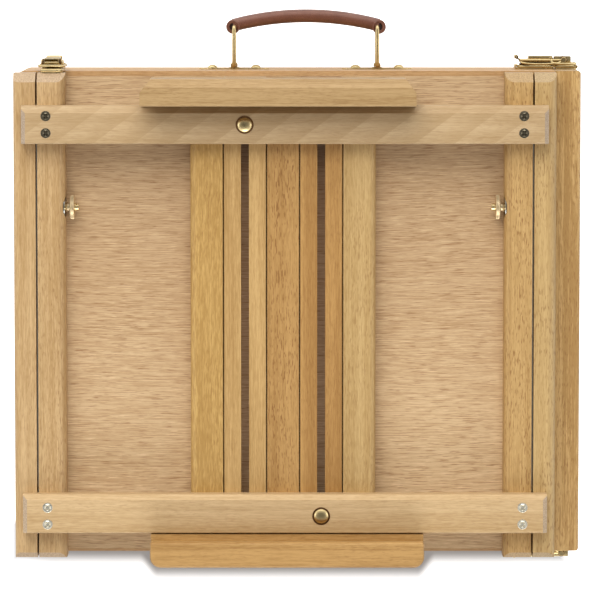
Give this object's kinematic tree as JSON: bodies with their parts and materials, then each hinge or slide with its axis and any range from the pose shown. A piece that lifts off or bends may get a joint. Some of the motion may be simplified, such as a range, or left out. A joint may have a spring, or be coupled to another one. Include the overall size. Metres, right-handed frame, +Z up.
{
  "type": "table-top artist easel",
  "caption": "Beech sketch-box table easel with a hinged lid, sliding slotted masts with canvas clamp and ledge, a side drawer, draw latches and a carrying handle.",
  "frame": {"origin": "point on the outer face of the back panel, midway between the outer side faces of the box", "axes": "+X along the handle side towards the drawer front, +Y towards the handle, +Z up out of the lid"},
  "size_m": [0.4715, 0.4691, 0.173],
  "materials": {
    "beech": "clear satin varnish over steamed beech",
    "plywood": "satin varnished plywood",
    "brass": "polished",
    "bronze_screw": "dark bronze plate",
    "zinc_screw": "pale yellow zinc plate",
    "leather": "glossy brown leather"
  },
  "bodies": {
    "box": {"back_panel": "plywood", "far_wall": "beech", "near_wall": "beech", "left_wall": "beech", "upper_right_wall": "beech", "palette_shelf": "plywood", "drawer_runners": "beech", "rail_left": "beech", "rail_right": "beech", "stay_pivots": "brass", "hinge_box_leaves": "brass", "hinge_pins": "brass", "handle_plates": "brass", "handle_screws": "brass", "latch_bases": "brass", "latch_pins": "brass", "latch_screws": "brass"},
    "lid": {"stile_left": "beech", "stile_right": "beech", "lid_panel": "plywood", "guide_left": "beech", "guide_centre": "beech", "guide_right": "beech", "crossbar_top": "beech", "crossbar_bottom": "beech", "top_crossbar_screws": "bronze_screw", "bottom_crossbar_screws": "zinc_screw", "mast_bolts": "brass", "stay_bolts": "brass", "stay_washers": "brass", "hinge_lid_leaves": "brass", "lid_keeper": "brass", "lid_keeper_screws": "brass"},
    "upper_mast": {"upper_mast": "beech", "upper_clamp": "beech"},
    "lower_mast": {"lower_mast": "beech", "lower_ledge": "beech"},
    "upper_mast_nut": {"upper_mast_nut": "brass"},
    "lower_mast_nut": {"lower_mast_nut": "brass"},
    "thumb_nut_left": {"thumb_nut_left": "brass"},
    "thumb_nut_right": {"thumb_nut_right": "brass"},
    "stay_left": {"stay_left": "brass"},
    "stay_right": {"stay_right": "brass"},
    "drawer": {"drawer_front": "beech", "drawer_sides": "beech", "drawer_back": "beech", "drawer_bottom": "plywood", "drawer_dividers": "beech", "drawer_keepers": "brass", "drawer_keeper_screws": "brass"},
    "handle_loop_left": {"handle_loop_left": "brass"},
    "handle_loop_right": {"handle_loop_right": "brass"},
    "handle_grip": {"handle_grip": "leather"},
    "drawer_far_lever": {"drawer_far_lever": "brass"},
    "drawer_far_bail": {"drawer_far_bail": "brass"},
    "drawer_near_lever": {"drawer_near_lever": "brass"},
    "drawer_near_bail": {"drawer_near_bail": "brass"},
    "lid_lever": {"lid_lever": "brass"},
    "lid_bail": {"lid_bail": "brass"}
  },
  "joints": [
    {"name": "lid_hinge", "type": "hinge", "parent": "box", "child": "lid", "pos_m": [0, -0.2023, 0.0982], "axis": [1, 0, 0], "range_deg": [0, 80]},
    {"name": "drawer_slide", "type": "slide", "parent": "box", "child": "drawer", "axis": [1, 0, 0], "range_m": [0, 0.3]},
    {"name": "upper_mast_slide", "type": "slide", "parent": "lid", "child": "upper_mast", "axis": [0, 1, 0], "range_m": [0, 0.24]},
    {"name": "lower_mast_slide", "type": "slide", "parent": "lid", "child": "lower_mast", "axis": [0, 1, 0], "range_m": [-0.24, 0]},
    {"name": "upper_mast_nut_spin", "type": "hinge", "parent": "lid", "child": "upper_mast_nut", "pos_m": [-0.0332, 0.1602, 0.095], "axis": [0, 0, 1], "continuous": true},
    {"name": "lower_mast_nut_spin", "type": "hinge", "parent": "lid", "child": "lower_mast_nut", "pos_m": [0.03, -0.1645, 0.095], "axis": [0, 0, 1], "continuous": true},
    {"name": "thumb_nut_left_spin", "type": "hinge", "parent": "lid", "child": "thumb_nut_left", "pos_m": [-0.177, 0.0906, 0.114], "axis": [1, 0, 0], "continuous": true},
    {"name": "thumb_nut_right_spin", "type": "hinge", "parent": "lid", "child": "thumb_nut_right", "pos_m": [0.177, 0.0906, 0.114], "axis": [1, 0, 0], "continuous": true},
    {"name": "stay_left_pivot", "type": "hinge", "parent": "box", "child": "stay_left", "pos_m": [-0.2059, -0.1415, 0.114], "axis": [1, 0, 0], "range_deg": [0, 96]},
    {"name": "stay_right_pivot", "type": "hinge", "parent": "box", "child": "stay_right", "pos_m": [0.2059, -0.1415, 0.114], "axis": [1, 0, 0], "range_deg": [0, 96]},
    {"name": "handle_fold", "type": "hinge", "parent": "box", "child": "handle_loop_left", "pos_m": [-0.043, 0.2062, 0.049], "axis": [0, 0, 1], "range_deg": [-70, 70]},
    {"name": "handle_right_loop", "type": "hinge", "parent": "box", "child": "handle_loop_right", "pos_m": [0.0775, 0.2062, 0.049], "axis": [0, 0, 1], "range_deg": [-70, 70]},
    {"name": "handle_grip_pivot", "type": "hinge", "parent": "handle_loop_left", "child": "handle_grip", "pos_m": [-0.043, 0.239, 0.049], "axis": [0, 0, 1], "range_deg": [-70, 70]},
    {"name": "drawer_far_latch", "type": "hinge", "parent": "box", "child": "drawer_far_lever", "pos_m": [0.2345, 0.211, 0.049], "axis": [0, 0, -1], "range_deg": [0, 90]},
    {"name": "drawer_far_bail_pivot", "type": "hinge", "parent": "drawer_far_lever", "child": "drawer_far_bail", "pos_m": [0.224, 0.2114, 0.049], "axis": [0, 0, -1], "range_deg": [-90, 0]},
    {"name": "drawer_near_latch", "type": "hinge", "parent": "box", "child": "drawer_near_lever", "pos_m": [0.2345, -0.208, 0.049], "axis": [0, 0, 1], "range_deg": [0, 90]},
    {"name": "drawer_near_bail_pivot", "type": "hinge", "parent": "drawer_near_lever", "child": "drawer_near_bail", "pos_m": [0.224, -0.2084, 0.049], "axis": [0, 0, 1], "range_deg": [-90, 0]},
    {"name": "lid_latch", "type": "hinge", "parent": "box", "child": "lid_lever", "pos_m": [-0.1935, 0.211, 0.1075], "axis": [1, 0, 0], "range_deg": [0, 90]},
    {"name": "lid_bail_pivot", "type": "hinge", "parent": "lid_lever", "child": "lid_bail", "pos_m": [-0.1935, 0.2114, 0.097], "axis": [1, 0, 0], "range_deg": [-90, 0]}
  ],
  "couplings": [
    {"joint": "stay_left_pivot", "follows": "lid_hinge", "ratio": 1.191},
    {"joint": "stay_right_pivot", "follows": "lid_hinge", "ratio": 1.191},
    {"joint": "handle_right_loop", "follows": "handle_fold", "ratio": 1},
    {"joint": "handle_grip_pivot", "follows": "handle_fold", "ratio": -1},
    {"joint": "drawer_far_bail_pivot", "follows": "drawer_far_latch", "ratio": -1},
    {"joint": "drawer_near_bail_pivot", "follows": "drawer_near_latch", "ratio": -1},
    {"joint": "lid_bail_pivot", "follows": "lid_latch", "ratio": -1}
  ]
}
